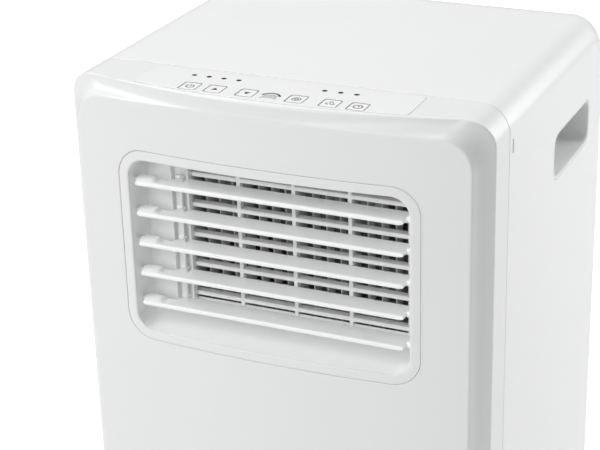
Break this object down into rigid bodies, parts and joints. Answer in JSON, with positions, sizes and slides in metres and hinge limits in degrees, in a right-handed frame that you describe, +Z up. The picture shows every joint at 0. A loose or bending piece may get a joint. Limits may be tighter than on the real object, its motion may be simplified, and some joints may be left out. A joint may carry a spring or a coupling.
{
  "type": "portable air conditioner",
  "caption": "Upright portable air conditioner on castors: bowed front with a louvred outlet grille, push buttons on top, filter covers and a round exhaust collar behind.",
  "frame": {"origin": "on the floor, under the middle of the machine's overall box", "axes": "+Z up, -Y towards the front with the outlet grille, +X to the right as seen from the front"},
  "size_m": [0.305, 0.328, 0.678],
  "materials": {
    "white_shell": "glossy moulded",
    "white_housing": "glossy moulded",
    "white_grille": "satin moulded",
    "overlay_film": "printed film",
    "button_white": "satin",
    "dark_lens": "clear dark",
    "circuit_green": "solder mask",
    "coil_aluminium": "finned",
    "copper_tube": "drawn tube",
    "compressor_paint": "black enamel",
    "motor_steel": "plated",
    "shaft_steel": "ground",
    "foam_duct": "moulded",
    "wheel_black": "moulded",
    "tray_grey": "moulded",
    "mesh_grey": "woven nylon",
    "foot_rubber": "matt",
    "castor_steel": "zinc plated",
    "castor_black": "moulded",
    "screw_steel": "zinc plated"
  },
  "bodies": {
    "cabinet": {"front_shell": "white_shell", "rear_housing": "white_housing", "base_tray": "tray_grey", "outlet_grille": "white_grille", "vertical_vanes": "tray_grey", "control_overlay": "overlay_film", "led_lenses": "dark_lens", "control_board": "circuit_green", "evaporator_coil": "coil_aluminium", "evaporator_motor": "motor_steel", "evaporator_scroll": "foam_duct", "outlet_duct": "foam_duct", "drip_tray": "foam_duct", "condenser_coil": "coil_aluminium", "condenser_motor": "motor_steel", "condenser_scroll": "tray_grey", "exhaust_duct": "tray_grey", "compressor": "compressor_paint", "compressor_feet": "foot_rubber", "accumulator": "compressor_paint", "discharge_pipe": "copper_tube", "suction_pipe": "copper_tube", "liquid_pipe": "copper_tube", "electrical_box": "motor_steel", "run_capacitor": "motor_steel", "exhaust_collar": "white_housing", "cord_inlet": "tray_grey", "cord_hooks": "white_housing", "side_grips": "white_housing", "housing_screws": "screw_steel", "upper_drain_plug": "foot_rubber", "lower_drain_plug": "foot_rubber"},
    "louver_1_body": {"louver_1": "white_grille"},
    "louver_2_body": {"louver_2": "white_grille"},
    "louver_3_body": {"louver_3": "white_grille"},
    "louver_4_body": {"louver_4": "white_grille"},
    "louver_5_body": {"louver_5": "white_grille"},
    "link_body": {"louver_link": "white_grille"},
    "power_key": {"button_power": "button_white"},
    "up_key": {"button_up": "button_white"},
    "down_key": {"button_down": "button_white"},
    "mode_key": {"button_mode": "button_white"},
    "fan_key": {"button_fan": "button_white"},
    "timer_key": {"button_timer": "button_white"},
    "evaporator_rotor": {"evaporator_wheel": "wheel_black", "evaporator_shaft": "shaft_steel"},
    "condenser_rotor": {"condenser_wheel": "wheel_black", "condenser_shaft": "shaft_steel"},
    "upper_filter": {"upper_filter_cover": "white_housing", "upper_filter_mesh": "mesh_grey"},
    "lower_filter": {"lower_filter_cover": "white_housing", "lower_filter_mesh": "mesh_grey"},
    "front_left_fork": {"castor_fork_front_left": "castor_steel"},
    "front_left_wheel": {"castor_wheel_front_left": "castor_black"},
    "front_right_fork": {"castor_fork_front_right": "castor_steel"},
    "front_right_wheel": {"castor_wheel_front_right": "castor_black"},
    "rear_left_fork": {"castor_fork_rear_left": "castor_steel"},
    "rear_left_wheel": {"castor_wheel_rear_left": "castor_black"},
    "rear_right_fork": {"castor_fork_rear_right": "castor_steel"},
    "rear_right_wheel": {"castor_wheel_rear_right": "castor_black"}
  },
  "joints": [
    {"name": "louver_1_tilt", "type": "hinge", "parent": "cabinet", "child": "louver_1_body", "pos_m": [0, -0.149, 0.6063], "axis": [1, 0, 0], "range_deg": [-30, 30]},
    {"name": "louver_2_tilt", "type": "hinge", "parent": "cabinet", "child": "louver_2_body", "pos_m": [0, -0.149, 0.5838], "axis": [1, 0, 0], "range_deg": [-30, 30]},
    {"name": "louver_3_tilt", "type": "hinge", "parent": "cabinet", "child": "louver_3_body", "pos_m": [0, -0.149, 0.5613], "axis": [1, 0, 0], "range_deg": [-30, 30]},
    {"name": "louver_4_tilt", "type": "hinge", "parent": "cabinet", "child": "louver_4_body", "pos_m": [0, -0.149, 0.5388], "axis": [1, 0, 0], "range_deg": [-30, 30]},
    {"name": "louver_5_tilt", "type": "hinge", "parent": "cabinet", "child": "louver_5_body", "pos_m": [0, -0.149, 0.5163], "axis": [1, 0, 0], "range_deg": [-30, 30]},
    {"name": "louver_link_turn", "type": "hinge", "parent": "louver_1_body", "child": "link_body", "pos_m": [-0.075, -0.136, 0.6063], "axis": [1, 0, 0], "range_deg": [-30, 30]},
    {"name": "power_press", "type": "slide", "parent": "cabinet", "child": "power_key", "axis": [0, 0, -1], "range_m": [0, 0.0006], "stiffness_N_per_m": 2500},
    {"name": "up_press", "type": "slide", "parent": "cabinet", "child": "up_key", "axis": [0, 0, -1], "range_m": [0, 0.0006], "stiffness_N_per_m": 2500},
    {"name": "down_press", "type": "slide", "parent": "cabinet", "child": "down_key", "axis": [0, 0, -1], "range_m": [0, 0.0006], "stiffness_N_per_m": 2500},
    {"name": "mode_press", "type": "slide", "parent": "cabinet", "child": "mode_key", "axis": [0, 0, -1], "range_m": [0, 0.0006], "stiffness_N_per_m": 2500},
    {"name": "fan_press", "type": "slide", "parent": "cabinet", "child": "fan_key", "axis": [0, 0, -1], "range_m": [0, 0.0006], "stiffness_N_per_m": 2500},
    {"name": "timer_press", "type": "slide", "parent": "cabinet", "child": "timer_key", "axis": [0, 0, -1], "range_m": [0, 0.0006], "stiffness_N_per_m": 2500},
    {"name": "evaporator_spin", "type": "hinge", "parent": "cabinet", "child": "evaporator_rotor", "pos_m": [0, 0.022, 0.545], "axis": [0, 1, 0], "continuous": true},
    {"name": "condenser_spin", "type": "hinge", "parent": "cabinet", "child": "condenser_rotor", "pos_m": [-0.042, 0.022, 0.19], "axis": [0, 1, 0], "continuous": true},
    {"name": "upper_filter_pull", "type": "slide", "parent": "cabinet", "child": "upper_filter", "axis": [0, 1, 0], "range_m": [0, 0.06]},
    {"name": "lower_filter_pull", "type": "slide", "parent": "cabinet", "child": "lower_filter", "axis": [0, 1, 0], "range_m": [0, 0.06]},
    {"name": "front_left_swivel", "type": "hinge", "parent": "cabinet", "child": "front_left_fork", "pos_m": [-0.112, -0.108, 0.034], "axis": [0, 0, 1], "continuous": true},
    {"name": "front_left_roll", "type": "hinge", "parent": "front_left_fork", "child": "front_left_wheel", "pos_m": [-0.112, -0.1, 0.015], "axis": [1, 0, 0], "continuous": true},
    {"name": "front_right_swivel", "type": "hinge", "parent": "cabinet", "child": "front_right_fork", "pos_m": [0.112, -0.108, 0.034], "axis": [0, 0, 1], "continuous": true},
    {"name": "front_right_roll", "type": "hinge", "parent": "front_right_fork", "child": "front_right_wheel", "pos_m": [0.112, -0.1, 0.015], "axis": [1, 0, 0], "continuous": true},
    {"name": "rear_left_swivel", "type": "hinge", "parent": "cabinet", "child": "rear_left_fork", "pos_m": [-0.112, 0.1, 0.034], "axis": [0, 0, 1], "continuous": true},
    {"name": "rear_left_roll", "type": "hinge", "parent": "rear_left_fork", "child": "rear_left_wheel", "pos_m": [-0.112, 0.108, 0.015], "axis": [1, 0, 0], "continuous": true},
    {"name": "rear_right_swivel", "type": "hinge", "parent": "cabinet", "child": "rear_right_fork", "pos_m": [0.112, 0.1, 0.034], "axis": [0, 0, 1], "continuous": true},
    {"name": "rear_right_roll", "type": "hinge", "parent": "rear_right_fork", "child": "rear_right_wheel", "pos_m": [0.112, 0.108, 0.015], "axis": [1, 0, 0], "continuous": true}
  ],
  "couplings": [
    {"joint": "louver_2_tilt", "follows": "louver_1_tilt", "ratio": 1},
    {"joint": "louver_3_tilt", "follows": "louver_1_tilt", "ratio": 1},
    {"joint": "louver_4_tilt", "follows": "louver_1_tilt", "ratio": 1},
    {"joint": "louver_5_tilt", "follows": "louver_1_tilt", "ratio": 1},
    {"joint": "louver_link_turn", "follows": "louver_1_tilt", "ratio": -1}
  ]
}
